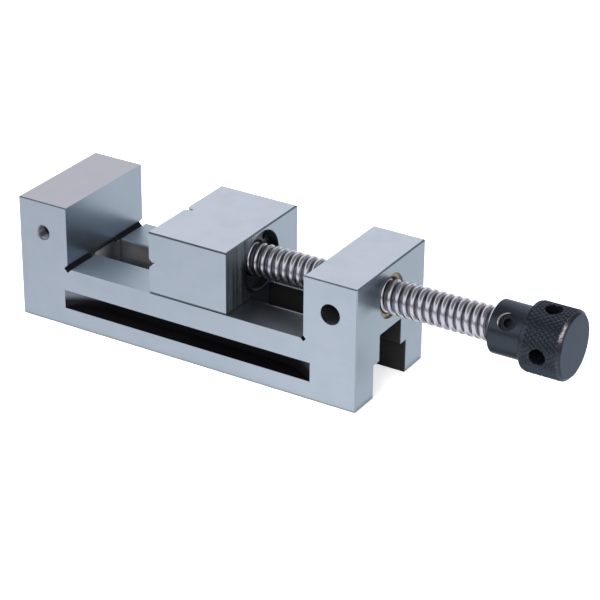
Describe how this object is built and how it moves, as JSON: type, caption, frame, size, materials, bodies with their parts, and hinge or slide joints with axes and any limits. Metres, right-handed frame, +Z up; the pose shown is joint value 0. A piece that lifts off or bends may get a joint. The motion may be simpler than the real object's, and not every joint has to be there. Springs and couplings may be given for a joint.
{
  "type": "precision vise",
  "caption": "Ground steel toolmaker's screw vise: L-shaped body with rear block, sliding jaw with crossed vee grooves, trapezoidal leadscrew and knurled knob with bar holes.",
  "frame": {"origin": "on the base plane, at mid-width, under the middle of the fixed jaw", "axes": "+X along the bed from the fixed jaw to the knob, +Z up from the base, +Y to the far side"},
  "size_m": [0.2815, 0.063, 0.0635],
  "materials": {
    "ground_steel": "surface ground",
    "turned_steel": "turned and polished",
    "bronze": "machined",
    "black_oxide": "black oxide, satin",
    "black_steel": "black oxide, screws"
  },
  "bodies": {
    "body": {"vise_body": "ground_steel", "leadscrew_nut": "bronze", "nut_lock_screw": "black_steel"},
    "jaw": {"movable_jaw": "ground_steel", "keeper_plate": "ground_steel", "front_thrust_washer": "bronze", "rear_thrust_washer": "bronze", "ring_nut": "turned_steel", "ring_nut_lock_screw": "black_steel", "keeper_screw_1": "black_steel", "keeper_screw_2": "black_steel", "keeper_screw_3": "black_steel", "keeper_screw_4": "black_steel", "keeper_washer_1": "black_steel", "keeper_washer_2": "black_steel", "keeper_washer_3": "black_steel", "keeper_washer_4": "black_steel"},
    "screw": {"leadscrew": "turned_steel", "handle_knob": "black_oxide", "knob_lock_screw": "black_steel"}
  },
  "joints": [
    {"name": "jaw_slide", "type": "slide", "parent": "body", "child": "jaw", "axis": [1, 0, 0], "range_m": [-0.048, 0.037]},
    {"name": "screw_turn", "type": "hinge", "parent": "jaw", "child": "screw", "pos_m": [0.175, 0, 0.047], "axis": [1, 0, 0], "range_deg": [-4321, 3331]}
  ],
  "couplings": [
    {"joint": "screw_turn", "follows": "jaw_slide", "rad_per_m": 1570.8}
  ]
}
